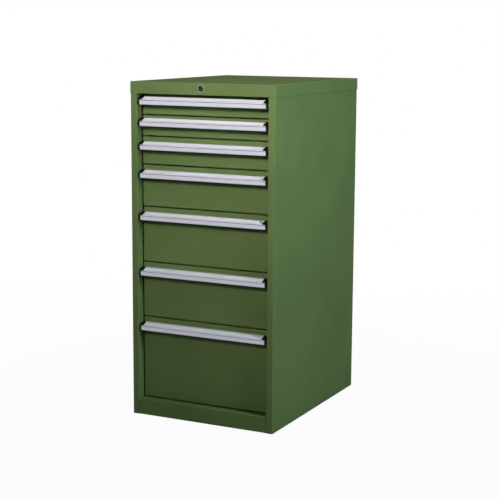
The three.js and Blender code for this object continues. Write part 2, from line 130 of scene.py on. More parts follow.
def lamp(name, place, target, width, tall, power, tint, spread=180):
    """A rectangular area lamp at a place, turned to a target. Places and sizes are in metres. The
    spread is in degrees, and a grid before the lamp makes it narrower."""
    data = bpy.data.lights.new(name, "AREA")
    data.shape = "RECTANGLE"
    data.size = width
    data.size_y = tall
    data.energy = power
    data.color = colour(tint)[:3]
    data.spread = math.radians(spread)
    made = bpy.data.objects.new(name, data)
    made.location = place
    made.rotation_euler = (Vector(target) - Vector(place)).to_track_quat("-Z", "Y").to_euler()
    made.visible_camera = False
    scene.collection.objects.link(made)


white = (1, 1, 1, 1)
surround_light = 0.03
surround = bpy.data.worlds.new("white_surround")
surround.use_nodes = True
tree = surround.node_tree
tree.nodes.clear()
dim = add(tree, "ShaderNodeBackground", {"Color": white, "Strength": surround_light}).outputs[0]
bright = add(tree, "ShaderNodeBackground", {"Color": white, "Strength": 1}).outputs[0]
choice = add(tree, "ShaderNodeMixShader", {0: seen_directly(tree), 1: dim, 2: bright})
add(tree, "ShaderNodeOutputWorld", {"Surface": choice.outputs[0]})
scene.world = surround

# The floor's paper takes the shadow. A small share of it shows round the cabinet, and fades out
# between two distances, in metres, into a white glow.
floor_half = 40
shadow_share = 0.04
shadow_full = 0.9
shadow_gone = 2.6
floor_paper, tree, spot = start_material("floor_paper")
paper = add(tree, "ShaderNodeBsdfDiffuse", {"Color": colour("a8a8a6")}).outputs[0]
glow = add(tree, "ShaderNodeEmission", {"Color": white, "Strength": 1}).outputs[0]
away = add(tree, "ShaderNodeVectorMath", {0: spot}, operation="LENGTH").outputs["Value"]
fade = {"From Min": shadow_full, "From Max": shadow_gone, "To Min": 1 - shadow_share, "To Max": 1}
plain = add(tree, "ShaderNodeMapRange", {"Value": away, **fade}).outputs[0]
share = add(tree, "ShaderNodeMath", {0: plain, 1: seen_directly(tree)}, operation="MULTIPLY")
blend = add(tree, "ShaderNodeMixShader", {0: share.outputs[0], 1: paper, 2: glow})
add(tree, "ShaderNodeOutputMaterial", {"Surface": blend.outputs[0]})
floor_corners = placed(rectangle((-floor_half, -floor_half), (floor_half, floor_half)), "z", 0)
floor_mesh = bpy.data.meshes.new("floor")
floor_mesh.from_pydata(floor_corners.tolist(), [], [(0, 1, 2, 3)])
floor_mesh.materials.append(floor_paper)
floor = bpy.data.objects.new("floor", floor_mesh)
scene.collection.objects.link(floor)

lamp(
    "front_lamp",
    place=(0.5, -3.8, 3.15),
    target=(0.25, -0.36, 1.8),
    width=1.6,
    tall=1.4,
    power=18.2,
    tint="fff3ee",
    spread=43,
)
lamp(
    "right_lamp",
    place=(2.15, -0.74, 1.62),
    target=(0.25, -0.1, 1.5),
    width=0.4,
    tall=1.3,
    power=37,
    tint="eafbff",
)
lamp(
    "left_lamp",
    place=(-2.2, 0.1, 0.75),
    target=(-0.28, 0, 0.7),
    width=1,
    tall=0.8,
    power=31,
    tint="ffffff",
)
lamp(
    "back_lamp",
    place=(-0.5, 2.6, 0.75),
    target=(0, 0.36, 0.7),
    width=1,
    tall=0.8,
    power=42,
    tint="ffffff",
)


# Carcass sheets: side panels, top and bottom, folded from 1.5 mm steel sheet on a press brake and
# spot-welded. Satin green enamel, baked on: a smooth film with faint orange peel, and clouds where
# its gloss varies.
same_point = 1e-6


def unit(rows):
    """Each row over its length."""
    return rows / np.linalg.norm(rows, axis=-1, keepdims=True)


def left_of(rows):
    """Each row turned a quarter turn to the left: minus its second number, and its first."""
    return np.stack([-rows[:, 1], rows[:, 0]], 1)


def rounded(corners, radii, steps=6, support=0.08, closed=True):
    """An outline with round corners. Each arc runs from the tangent point on the side before the
    corner to the one on the side after it: its centre plus the radius times a spoke that turns by
    equal steps. A support point just outside each end of the arc keeps the flats flat in shading.
    """
    corners = np.asarray(corners, float)
    radii = np.broadcast_to(np.asarray(radii, float), len(corners))
    arriving = unit(corners - np.roll(corners, 1, axis=0))
    leaving = np.roll(arriving, -1, axis=0)
    sine = arriving[:, 0] * leaving[:, 1] - arriving[:, 1] * leaving[:, 0]
    turn = np.arctan2(sine, (arriving * leaving).sum(1))
    inward = np.where(turn < 0, -1, 1)[:, None] * left_of(arriving)
    reach = (radii * np.tan(np.abs(turn) / 2))[:, None]
    centre = corners - arriving * reach + inward * radii[:, None]
    angle = (turn[:, None] * np.linspace(0, 1, steps + 1))[:, :, None]
    spoke = -inward[:, None] * np.cos(angle) - left_of(inward)[:, None] * np.sin(angle)
    arcs = centre[:, None] + radii[:, None, None] * spoke
    first = (corners - arriving * (reach + support))[:, None]
    last = (corners + leaving * (reach + support))[:, None]
    outline = np.concatenate([first, arcs, last], axis=1)
    if closed:
        outline = outline.reshape(-1, 2)
    else:
        outline = np.concatenate([corners[:1], outline[1:-1].reshape(-1, 2), corners[-1:]])
    apart = np.linalg.norm(outline - np.roll(outline, 1, axis=0), axis=1) > same_point
    return outline[apart]


def moved_left(path, distance):
    """A path moved to its left. The ends go along the normals there, and a corner along its mitre:
    the sum of the normals before and after it, over one plus their dot product."""
    left = left_of(unit(np.diff(path, axis=0)))
    mitre = (left[:-1] + left[1:]) / (1 + (left[:-1] * left[1:]).sum(1))[:, None]
    return path + distance * np.concatenate([left[:1], mitre, left[-1:]])


def folded(path, thickness, radius, edge=0.3):
    """The outline of folded sheet. The path is one face of it, and the other is the path moved to
    its left by the thickness. The outside of a fold has the radius, and its inside the radius less
    the thickness."""
    path = np.asarray(path, float)
    run = np.diff(path, axis=0)
    to_left = run[:-1, 0] * run[1:, 1] > run[:-1, 1] * run[1:, 0]
    near = np.where(to_left, radius, radius - thickness)
    far = np.where(to_left, radius - thickness, radius)
    corners = np.concatenate([path, moved_left(path, thickness)[::-1]])
    return rounded(corners, np.concatenate([[edge], near, [edge, edge], far[::-1], [edge]]))


def shell(rings, loop=False):
    """Vertices and faces through a stack of equal rings: quads between neighbours, and a flat face
    on the first and the last ring, or in a loop quads between those two. It is turned so that its
    volume, the sum of the triple products of its triangles, is positive."""
    rings = np.asarray(rings, float)
    count, around = rings.shape[:2]
    index = np.arange(count * around).reshape(count, around)
    low, high = (index, np.roll(index, -1, axis=0)) if loop else (index[:-1], index[1:])
    quads = np.stack([low, np.roll(low, -1, 1), np.roll(high, -1, 1), high], -1).reshape(-1, 4)
    vertices = rings.reshape(-1, 3)
    corner = vertices[quads] - vertices.mean(0)
    volume = np.einsum("ij,ij->", corner[:, 0], np.cross(corner[:, 1], corner[:, 2]))
    volume += np.einsum("ij,ij->", corner[:, 0], np.cross(corner[:, 2], corner[:, 3]))
    faces = quads.tolist()
    if not loop:
        for ring in (index[0][::-1], index[-1]):
            points = vertices[ring] - vertices.mean(0)
            volume += (np.cross(points[1:-1], points[2:]) @ points[0]).sum()
            faces.append(ring.tolist())
    if volume < 0:
        faces = [face[::-1] for face in faces]
    return vertices, faces


def carried(outline, axis, start, end, edge=0.24, support=0.1):
    """A shell of an outline carried along an axis between two places, with its ends rounded: near
    an end the outline is moved inwards along its normals by the edge's radius times one less the
    sine of the angle. A support ring keeps the sides flat in shading."""
    low, high = sorted((start, end))
    before, after = np.roll(outline, 1, axis=0), np.roll(outline, -1, axis=0)
    tangent = unit(unit(outline - before) + unit(after - outline))
    area = (outline[:, 0] * after[:, 1] - after[:, 0] * outline[:, 1]).sum()
    inward = left_of(tangent) * np.sign(area)
    angle = np.linspace(0, math.pi / 2, 4)
    inset = np.append(edge * (1 - np.sin(angle)), 0)
    along = np.append(edge * (1 - np.cos(angle)), edge + support)
    rings = [placed(outline + inward * i, axis, low + a) for i, a in zip(inset, along)]
    rings += [placed(outline + inward * i, axis, high - a) for i, a in zip(inset[::-1], along[::-1])]
    return shell(rings)


def pan(low, high, axis, face, depth, rim, edge=0.3, support=0.1, least=0.15):
    """A shell of a pan pressed from the sheet: a section of insets and depths carried round a
    rectangle. The section goes from the flat of the face round the bend, down the wall, round the
    rim and back up inside. Its arcs are a radius times one less the sine, and one less the cosine.
    A pan along z opens downwards, and one along y opens to the back."""
    angle = np.linspace(0, math.pi / 2, 7)
    arc = 1 - np.stack([np.sin(angle), np.cos(angle)], 1)
    beyond = bend + support
    section = np.concatenate(
        [
            [[beyond, 0]],
            bend * arc,
            [[0, beyond], [0, depth - rim - support]],
            rim * arc[:, ::-1] * (1, -1) + (0, depth),
            edge * -arc + (sheet, depth),
            [[sheet, depth - edge - support], [sheet, beyond]],
            (bend - sheet) * arc[:, ::-1] + sheet,
            [[beyond, sheet]],
        ]
    )
    direction = -1 if axis == "z" else 1
    rings = []
    for inset, down in section:
        ring = rounded(rectangle(np.add(low, inset), np.subtract(high, inset)), max(bend - inset, least))
        rings.append(placed(ring, axis, face + direction * down))
    return shell(rings)


def make(name, shells, material):
    """One object of one or more shells, in metres. It is shaded smooth, but for edges sharper than
    the crease and faces of more than four corners."""
    vertices, faces = [], []
    for points, polygons in shells:
        start = sum(len(group) for group in vertices)
        vertices.append(points)
        faces += [[start + corner for corner in face] for face in polygons]
    mesh = bpy.data.meshes.new(name)
    mesh.from_pydata((np.concatenate(vertices) * metre).tolist(), [], faces)
    mesh.polygons.foreach_set("use_smooth", [len(face) <= 4 for face in faces])
    mesh.set_sharp_from_angle(angle=crease)
    mesh.materials.append(material)
    mesh.update()
    made = bpy.data.objects.new(name, mesh)
    scene.collection.objects.link(made)
    return made


def finish_material(tree, inputs):
    """Adds the Principled shader, whose uniform values are on its own sockets, and the output."""
    shader = add(tree, "ShaderNodeBsdfPrincipled", inputs)
    add(tree, "ShaderNodeOutputMaterial", {"Surface": shader.outputs[0]})


def enamel(name):
    """Baked green enamel. Two tones are mixed by clouds 300 mm across, as the film's thickness
    varies, and its gloss varies in patches 110 mm across. The bump is orange peel, about 2.5 mm
    from crest to crest and drawn at 5 mm so that it shows, on waves in the sheet 200 mm long."""
    made, tree, spot = start_material(name)
    noise = "ShaderNodeTexNoise"
    clouds = {"Vector": spot, "Scale": 3.3, "Detail": 4, "Roughness": 0.6}
    clouds = add(tree, noise, clouds).outputs["Fac"]
    tone = add(tree, "ShaderNodeMapRange", {"Value": clouds, "From Min": 0.3, "From Max": 0.7})
    greens = {0: tone.outputs[0], 6: colour("607649"), 7: colour("69804f")}
    green = add(tree, "ShaderNodeMix", greens, data_type="RGBA").outputs[2]
    patches = add(tree, noise, {"Vector": spot, "Scale": 9, "Detail": 3})
    gloss = {"Value": patches.outputs["Fac"], "To Min": 0.36, "To Max": 0.48}
    gloss = add(tree, "ShaderNodeMapRange", gloss).outputs[0]
    waves = add(tree, noise, {"Vector": spot, "Scale": 5, "Detail": 1})
    slow = {"Height": waves.outputs["Fac"], "Strength": 0.5, "Distance": 0.004}
    slow = add(tree, "ShaderNodeBump", slow).outputs[0]
    peel = add(tree, noise, {"Vector": spot, "Scale": 200, "Detail": 2}).outputs["Fac"]
    fine = {"Height": peel, "Strength": 0.25, "Distance": 0.0004, "Normal": slow}
    fine = add(tree, "ShaderNodeBump", fine).outputs[0]
    finish_material(
        tree,
        {
            "Base Color": green,
            "Roughness": gloss,
            "Specular IOR Level": 0,
            "Coat Weight": 0.04,
            "Coat Roughness": 0.3,
            "Coat IOR": 1.5,
            "Normal": fine,
            "Coat Normal": fine,
        },
    )
    return made


# Between sheets there is 0.3 mm where one lies on another, and 0.05 mm where edges are welded.
carcass_enamel = enamel("carcass_green_enamel")
crease = math.radians(35)
sides = (("right", 1), ("left", -1))
sheet = 1.5
bend = 3
fit = 0.3
weld = 0.05
cut_edge = 0.3
cabinet_half = 282
body_half = 280.2
opening_half = 255.2
wall_inside = body_half - sheet - fit
front_y = -361.25
panel_y = -327.25
body_back = 361.95
back_y = 363.75
bottom_rail = 58
opening_top = 1158
height = 1200
back_flange = 20
side_path = [
    [opening_half, panel_y],
    [opening_half, front_y],
    [body_half, front_y],
    [body_half, body_back],
    [body_half - back_flange, body_back],
]
side_outline = folded(side_path, sheet, bend)
for side, sign in sides:
    side_sheet = make(
        f"side_sheet_{side}",
        [carried(side_outline * (sign, 1), "z", 0, opening_top - weld)],
        carcass_enamel,
    )
    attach(side_sheet, "carcass")
    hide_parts(f"side_panel_{side}")

# The top is a pan over the side panels. A strip under its front rim, which is the top rail, closes
# the opening above the first drawer, and is let 0.1 mm into the rim.
top_rim = 1.2
let_in = 0.1
ceiling_low = (front_y + sheet - let_in, opening_top)
ceiling_high = (panel_y - fit, opening_top + sheet)
ceiling_outline = rounded(rectangle(ceiling_low, ceiling_high), cut_edge)
top_low, top_high = (-cabinet_half, front_y), (cabinet_half, back_y)
top_sheet = make(
    "top_sheet",
    [
        pan(top_low, top_high, "z", height, height - opening_top, top_rim),
        carried(ceiling_outline, "x", fit - opening_half, opening_half - fit),
    ],
    carcass_enamel,
)
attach(top_sheet, "carcass")
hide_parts("top_panel")

# The bottom goes from the bottom rail under the drawers to a flange that carries the back. Beside
# it the floor reaches behind the stiles, to the walls of the side panels.
back_inside = 360.15
rear_flange = 30
base_path = [
    [panel_y - fit, bottom_rail],
    [front_y, bottom_rail],
    [front_y, 0],
    [back_inside, 0],
    [back_inside, rear_flange],
]
floor_outline = rounded(rectangle((panel_y + sheet, 0), (back_inside - bend, sheet)), cut_edge)
base_sheet = make(
    "base_sheet",
    [
        carried(folded(base_path, sheet, bend), "x", weld - opening_half, opening_half - weld),
        carried(floor_outline, "x", -wall_inside, fit - opening_half),
        carried(floor_outline, "x", opening_half - fit, wall_inside),
    ],
    carcass_enamel,
)
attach(base_sheet, "carcass")
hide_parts("base_panel")

# Back: a flat sheet of the same steel, inside the flanges of the side panels. A row of pop rivets
# on each side holds it, and is enamelled with it.
back_half = body_half - bend - sheet
back_low, back_high = (-back_half, rear_flange + fit), (back_half, height - sheet - fit)
back_corner = 4
back_outline = rounded(rectangle(back_low, back_high), back_corner)
back_shell = carried(back_outline, "y", back_inside - sheet, back_inside)
back_sheet = make("back_sheet", [back_shell], carcass_enamel)
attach(back_sheet, "carcass")
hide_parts("back_panel")


def turned(profile, axis, centre, count=24, loop=False):
    """A shell of revolution: each (along, radius) point of a profile becomes a circle of so many
    points round the axis. A loop goes on from the last circle to the first."""
    angle = np.linspace(0, 2 * math.pi, count, endpoint=False)
    circle = np.stack([np.cos(angle), np.sin(angle)], 1)
    return shell([placed(circle * radius + centre, axis, along) for along, radius in profile], loop)


rivet_x = 269
rivet_lowest = 100
rivet_highest = 1150
rivet_pitch = 140
rivet_sides = 16
rivet_dome = [(0, 2.9), (0.5, 2.8), (0.95, 2.3), (1.25, 1.5), (1.25, 0.8), (0.9, 0.7)]
rivet_profile = np.add(rivet_dome, (body_back, 0))
rivets = [
    turned(rivet_profile, "y", (sign * rivet_x, row), rivet_sides)
    for sign in (-1, 1)
    for row in np.arange(rivet_lowest, rivet_highest, rivet_pitch)
]
back_rivets = make("back_rivets", rivets, carcass_enamel)
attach(back_rivets, "carcass")


# Rail frames: two uprights on each side, pressed from 2 mm zinc-plated strip, and hooked into them
# a roll-formed slide channel for each drawer, with a stop at its front end. Bright zinc shows a
# fine crystal pattern, and the rolls and the press leave faint lines along it.
def lines_along(tree, spot, axis, scale, longer, detail):
    """Noise stretched along an axis: its cells become lines, so many times longer than wide."""
    stretch = [1, 1, 1]
    stretch["xyz".index(axis)] = 1 / longer
    spot = add(tree, "ShaderNodeMapping", {"Vector": spot, "Scale": stretch}).outputs[0]
    lines = {"Vector": spot, "Scale": scale, "Detail": detail}
    return add(tree, "ShaderNodeTexNoise", lines).outputs["Fac"]


def zinc(name, axis):
    """Zinc plate: a metal with crystals 6 mm across in its roughness, and lines along an axis that
    are 0.3 mm apart and drawn at 1 mm."""
    made, tree, spot = start_material(name)
    crystals = add(tree, "ShaderNodeTexVoronoi", {"Vector": spot, "Scale": 160})
    rough = {"Value": crystals.outputs["Distance"], "To Min": 0.3, "To Max": 0.46}
    rough = add(tree, "ShaderNodeMapRange", rough).outputs[0]
    lines = lines_along(tree, spot, axis, scale=1000, longer=100, detail=2)
    relief = add(tree, "ShaderNodeBump", {"Height": lines, "Strength": 0.2, "Distance": 0.0002})
    finish_material(
        tree,
        {
            "Base Color": colour("b4b8bb"),
            "Metallic": 1,
            "Roughness": rough,
            "Normal": relief.outputs[0],
        },
    )
    return made


channel_zinc = zinc("rolled_zinc_steel", "y")
upright_zinc = zinc("pressed_zinc_steel", "z")
front_heights = [75, 75, 100, 150, 200, 200, 300]
gap_lines = [opening_top - sum(front_heights[:above]) for above in range(len(front_heights) + 1)]
gap_half = 1.5
floor_rise = 8
drawer_tops = [line - gap_half for line in gap_lines[:-1]]
drawer_bottoms = [line + gap_half for line in gap_lines[1:]]
drawer_floors = [bottom + floor_rise for bottom in drawer_bottoms]
slide_start = -297.25
slide_end = 287.45
slide_rise = 14.3
slide_half = 12.3
slide_sheet = 2
fixed_web = 261.8
fixed_lip = 249.8


def channel(web, lip, middle):
    """The outline of a slide channel: a web with a lip above and one below, all of one thickness.
    The inside of the channel is on the left of its path."""
    low, high = middle - slide_half, middle + slide_half
    path = [[lip, high], [web, high], [web, low], [lip, low]]
    return folded(path if web < lip else path[::-1], slide_sheet, bend)


upright_x = 261.3
upright_wide = 40
upright_sheet = 2
stop_x = 250
stop_gap = 0.1
stop_thick = 3
stop_edge = 0.6
stop_half = slide_half - slide_sheet - stop_gap
for side, sign in sides:
    uprights = []
    for start in (slide_start, slide_end - upright_wide):
        end = start + upright_wide
        path = [[wall_inside, end], [upright_x, end], [upright_x, start], [wall_inside, start]]
        outline = folded(path, upright_sheet, bend) * (sign, 1)
        uprights.append(carried(outline, "z", sheet + fit, opening_top - fit))
    upright_pair = make(f"uprights_{side}", uprights, upright_zinc)
    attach(upright_pair, "carcass")
    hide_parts(f"rail_frame_{side}")

    fixed = []
    for floor_z in drawer_floors:
        middle = floor_z + slide_rise
        outline = channel(fixed_web, fixed_lip, middle) * (sign, 1)
        fixed.append(carried(outline, "y", slide_start, slide_end))
        stop_low = (stop_x, middle - stop_half)
        stop_high = (fixed_web - slide_sheet - stop_gap, middle + stop_half)
        stop = rounded(rectangle(stop_low, stop_high), stop_edge) * (sign, 1)
        fixed.append(carried(stop, "y", slide_start, slide_start + stop_thick))
    fixed_channels = make(f"fixed_channels_{side}", fixed, channel_zinc)
    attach(fixed_channels, "carcass")
    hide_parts(f"rail_frame_{side}")

# Drawers: a folded front pan, 18 mm deep, spot-welded to a tray of 1.2 mm sheet with rolled hems.
# The tray's walls are slotted every 17 mm for dividers. Both are enamelled like the carcass. The
# gaps between the fronts are 3 mm, and are eased by 0.6 mm on each side so that they show.
drawer_enamel = enamel("drawer_green_enamel")
front_half = 252.2
front_depth = 18
front_rim = 0.5
gap_ease = 0.6
tray_sheet = 1.2
tray_fold = 1.8
tray_inside = 229.5
tray_length = 612
tray_start = panel_y + sheet
tray_end = tray_start + tray_length
tray_drop = 12
rear_drop = 4
hem = 5
slot_pitch = 17
slot_width = 3
slot_margin = 8
slot_slack = 0.1
wall_slack = 0.01
drawer_web = 230.7
drawer_lip = 242.7
catch_low = (230.5, -303.25)
catch_high = (250.3, -300.75)
catch_edge = 0.8
catch_rise = 43.8
catch_tall = 6


def applied(piece):
    """The mesh of an object with its modifiers applied."""
    depsgraph = bpy.context.evaluated_depsgraph_get()
    return bpy.data.meshes.new_from_object(piece.evaluated_get(depsgraph))


def slotted(points, holes, thickness, reverse):
    """A sheet through a grid of points, without the quads that holes marks. Solidify thickens it to
    the side that its faces point to, which reverse turns round."""
    rows, columns = points.shape[:2]
    index = np.arange(rows * columns).reshape(rows, columns)
    corners = [index[:-1, :-1], index[:-1, 1:], index[1:, 1:], index[1:, :-1]]
    quads = np.stack(corners, -1)[~holes]
    if reverse:
        quads = quads[:, ::-1]
    mesh = bpy.data.meshes.new("slotted")
    mesh.from_pydata((points.reshape(-1, 3) * metre).tolist(), [], quads.tolist())
    thin = bpy.data.objects.new("slotted", mesh)
    scene.collection.objects.link(thin)
    wall = thin.modifiers.new("wall", "SOLIDIFY")
    wall.thickness = thickness * metre
    wall.offset = 1
    wall.use_even_offset = True
    thick = applied(thin)
    vertices = np.zeros(len(thick.vertices) * 3)
    thick.vertices.foreach_get("co", vertices)
    faces = [list(polygon.vertices) for polygon in thick.polygons]
    bpy.data.objects.remove(thin)
    bpy.data.meshes.remove(mesh)
    bpy.data.meshes.remove(thick)
    return vertices.reshape(-1, 3) / metre, faces


def slot_places(low, high):
    """The limits and between them the edges of the slots: centres a pitch apart, and half a width
    to each side of them. Every second gap in the list is a slot."""
    count = int((high - low - slot_pitch) // slot_pitch)
    centres = (low + high - count * slot_pitch) / 2 + slot_pitch * np.arange(count + 1)
    return np.sort(np.concatenate([centres - slot_width / 2, centres + slot_width / 2]))


def every_second(places):
    """True for the second, fourth and every further even gap between neighbours in a list."""
    return np.arange(len(places) - 1) % 2 == 1


lengthwise = slot_places(tray_start, tray_end)
lengthwise = np.concatenate([[tray_start], lengthwise, [tray_end + tray_sheet]])
across = slot_places(-tray_inside, tray_inside)
across = np.concatenate([[-tray_inside], across, [tray_inside]])
for number, (top, bottom, floor_z) in enumerate(zip(drawer_tops, drawer_bottoms, drawer_floors), 1):
    body = f"drawer_{number}"
    front_low, front_high = (-front_half, bottom + gap_ease), (front_half, top - gap_ease)
    front = make(
        f"drawer_front_{number}",
        [pan(front_low, front_high, "y", panel_y, front_depth, front_rim)],
        drawer_enamel,
    )
    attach(front, body)
    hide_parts(f"drawer_{number}")

    # The section goes from the right hem down the wall, along the floor and up to the left hem.
    # The slots take in the support points of the section at their upper and lower ends.
    wall_top = top - tray_drop
    inner_floor = floor_z + tray_sheet
    slot_low, slot_high = inner_floor + slot_margin, wall_top - slot_margin
    right = [(tray_inside, z) for z in (wall_top, slot_high, slot_low, inner_floor)]
    right = [(tray_inside + hem, wall_top)] + right
    right_radii = [0, tray_fold, 0, 0, tray_fold]
    left = [(-x, z) for x, z in right[::-1]]
    section = rounded(right + left, right_radii + right_radii[::-1], closed=False)
    grid = np.stack([placed(section, "y", y) for y in lengthwise])
    on_wall = np.abs(section[:, 0]) > tray_inside - wall_slack
    middle_z = (section[1:, 1] + section[:-1, 1]) / 2
    in_slot = (middle_z > slot_low - slot_slack) & (middle_z < slot_high + slot_slack)
    in_slot = in_slot & on_wall[1:] & on_wall[:-1]
    holes = every_second(lengthwise)[:, None] & in_slot
    side_walls = slotted(grid, holes, tray_sheet, reverse=False)

    levels = [inner_floor, slot_low, slot_high - rear_drop, wall_top - rear_drop]
    grid = np.stack(np.meshgrid(across, levels), -1)
    grid = np.insert(grid, 1, tray_end, axis=2)
    holes = every_second(levels)[:, None] & every_second(across)
    rear_wall = slotted(grid, holes, tray_sheet, reverse=True)
    tray = make(f"drawer_tray_{number}", [side_walls, rear_wall], drawer_enamel)
    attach(tray, body)
    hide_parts(f"drawer_{number}")

    # Zinc-plated channels are spot-welded to both walls, and a catch for the lock to the right one.
    outline = channel(drawer_web, drawer_lip, floor_z + slide_rise)
    slides = [carried(outline * (sign, 1), "y", slide_start, slide_end) for sign in (1, -1)]
    catch = rounded(rectangle(catch_low, catch_high), catch_edge)
    catch_z = floor_z + catch_rise
    slides.append(carried(catch, "z", catch_z, catch_z + catch_tall))
    drawer_channels = make(f"drawer_channels_{number}", slides, channel_zinc)
    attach(drawer_channels, body)
    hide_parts(f"drawer_{number}")


# Grip rails: aluminium extrusions, screwed to the drawer fronts from inside. The slope holds a
# label strip between two ridges, and the lip below it is what the fingers pull. A grey strip in the
# groove under the fold is painted shade: it darkens the groove into a line.
def anodised():
    """Satin anodised aluminium, pale and half dull: partly metal and partly the oxide over it, with
    lines along x from the extruder's die, 0.2 mm apart and drawn at 0.8 mm, in its roughness and
    its relief."""
    made, tree, spot = start_material("anodised_aluminium")
    lines = lines_along(tree, spot, "x", scale=1250, longer=250, detail=3)
    rough = add(tree, "ShaderNodeMapRange", {"Value": lines, "To Min": 0.36, "To Max": 0.48})
    relief = add(tree, "ShaderNodeBump", {"Height": lines, "Strength": 0.3, "Distance": 0.0001})
    finish_material(
        tree,
        {
            "Base Color": colour("cdd0dc"),
            "Metallic": 0.4,
            "Roughness": rough.outputs[0],
            "Normal": relief.outputs[0],
        },
    )
    return made


def patchy(name, tint, scale, low, high, **sockets):
    """A material of one colour, whose roughness varies between two values in patches."""
    made, tree, spot = start_material(name)
    patches = add(tree, "ShaderNodeTexNoise", {"Vector": spot, "Scale": scale, "Detail": 3})
    rough = {"Value": patches.outputs["Fac"], "To Min": low, "To Max": high}
    rough = add(tree, "ShaderNodeMapRange", rough).outputs[0]
    values = {socket.replace("_", " "): value for socket, value in sockets.items()}
    finish_material(tree, {"Base Color": colour(tint), "Roughness": rough, **values})
    return made


def beside(start, end, points):
    """(y, z) of points given as the distance from the start of a line towards its end, and the
    height off its right side. On the rail that is the outside, and minus is into the metal."""
    ahead = unit(np.subtract(end, start))
    return start + np.asarray(points, float) @ np.stack([ahead, [ahead[1], -ahead[0]]])


# Painted shade for the groove: a dull grey, with a bloom in patches 2.5 mm across.
grip_aluminium = anodised()
groove_shade_grey = patchy("painted_groove_shade", "5a5a60", 400, 0.55, 0.75, Specular_IOR_Level=0.2)
grip_drops = [11, 11, 18.5, 18.5, 18.5, 18.5, 18.5]
grip_tops = [line - drop for line, drop in zip(gap_lines, grip_drops)]
grip_half = 245.1
grip_wall = 1.8
grip_edge = 0.1
grip_support = 0.03
plate_y = panel_y - fit
plate_foot = -16
crest = np.array([-338.25, 0])
fold = np.array([-360.25, -10.5])
lip_end = np.array([-358.75, -27.5])
lip_return = np.array([-353.75, -27.5])
slope_length = np.linalg.norm(fold - crest)

# The section, from the rail's top: plate, slope with its two ridges, fold, groove, lip, and the
# hollow behind them, where a fillet of two corners fills the angle behind the fold.
path = np.array([[plate_y, plate_foot], [plate_y, 0], crest, fold, lip_end, lip_return])
ridge = np.array([[2, 0], [2, 2.1], [4, 2.1], [4, 1.5], [2.8, 1.5], [2.8, 0]])
lower_ridge = (ridge * (-1, 1) + (slope_length, 0))[::-1]
ridge_radii = [0.3, 0.3, 0.25, 0.2, 0.2, 0.2]
groove = beside(fold, lip_end, [[1.3, 0], [1.3, -2.6], [3.2, -2.6], [3.2, 0]])
fillet_reach = 6
inner = moved_left(path, grip_wall)
run = unit(np.diff(path, axis=0))
fillet = inner[3] + fillet_reach * np.stack([run[3], -run[2]])
rail_corners = np.concatenate(
    [
        path[:3],
        beside(crest, fold, ridge),
        beside(crest, fold, lower_ridge),
        path[3:4],
        groove,
        path[4:],
        inner[:3:-1],
        fillet,
        inner[2::-1],
    ]
)
rail_radii = [0.3, 2.5, 2.5, *ridge_radii, *ridge_radii[::-1], 1, 0.3, 0.3, 0.3, 0.3, 2.5, 0.5]
rail_radii += [0.5, 0.7, 0.7, 0.7, 0.7, 0.7, 0.3]
rail_outline = rounded(rail_corners, rail_radii, support=grip_support)

# Each groove holds a grey strip, which is painted shade in the groove under the fold.
shade_strip_half = 244.9
shade_strip_edge = 0.2
shade_strip_corners = beside(fold, lip_end, [[1.4, -0.8], [1.4, -2.4], [3.1, -2.4], [3.1, -0.8]])
shade_strip_outline = rounded(shade_strip_corners, 0.4)
for number, grip_top in enumerate(grip_tops, 1):
    rail = make(
        f"grip_extrusion_{number}",
        [carried(rail_outline + (0, grip_top), "x", -grip_half, grip_half, grip_edge)],
        grip_aluminium,
    )
    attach(rail, f"drawer_{number}")
    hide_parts(f"grip_rail_{number}")

    # The grey strip of painted shade in the groove.
    shade_strip = make(
        f"groove_shade_strip_{number}",
        [carried(shade_strip_outline + (0, grip_top), "x", -shade_strip_half, shade_strip_half, shade_strip_edge)],
        groove_shade_grey,
    )
    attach(shade_strip, f"drawer_{number}")

# Label strips: blank light card under a clear strip, slid into the channel of each grip rail. The
# card has fibres, drawn 1.4 mm apart, and the clear strip gives it a smooth gloss with faint waves
# 70 mm long, where it isn't quite flat.
label_stock, tree, spot = start_material("card_under_clear_strip")
fibre = add(tree, "ShaderNodeTexNoise", {"Vector": spot, "Scale": 700, "Detail": 3})
tones = {0: fibre.outputs["Fac"], 6: colour("eaecf9"), 7: colour("f2f4ff")}
tone = add(tree, "ShaderNodeMix", tones, data_type="RGBA")
waves = add(tree, "ShaderNodeTexNoise", {"Vector": spot, "Scale": 14, "Detail": 1})
relief = {"Height": waves.outputs["Fac"], "Strength": 0.3, "Distance": 0.002}
relief = add(tree, "ShaderNodeBump", relief)
finish_material(
    tree,
    {
        "Base Color": tone.outputs[2],
        "Roughness": 0.4,
        "Specular IOR Level": 0.4,
        "Coat Weight": 0.5,
        "Coat Roughness": 0.12,
        "Coat Normal": relief.outputs[0],
    },
)
label_half = 235.8
label_thick = 1
label_margin = 3.1
label_far = slope_length - label_margin
label_corners = [
    [label_margin, fit],
    [label_margin, fit + label_thick],
    [label_far, fit + label_thick],
    [label_far, fit],
]
label_outline = rounded(beside(crest, fold, label_corners), 0.25, support=grip_support)
for number, grip_top in enumerate(grip_tops, 1):
    strip = make(
        f"label_card_{number}",
        [carried(label_outline + (0, grip_top), "x", -label_half, label_half, grip_edge)],
        label_stock,
    )
    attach(strip, f"drawer_{number}")
    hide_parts(f"label_strip_{number}")

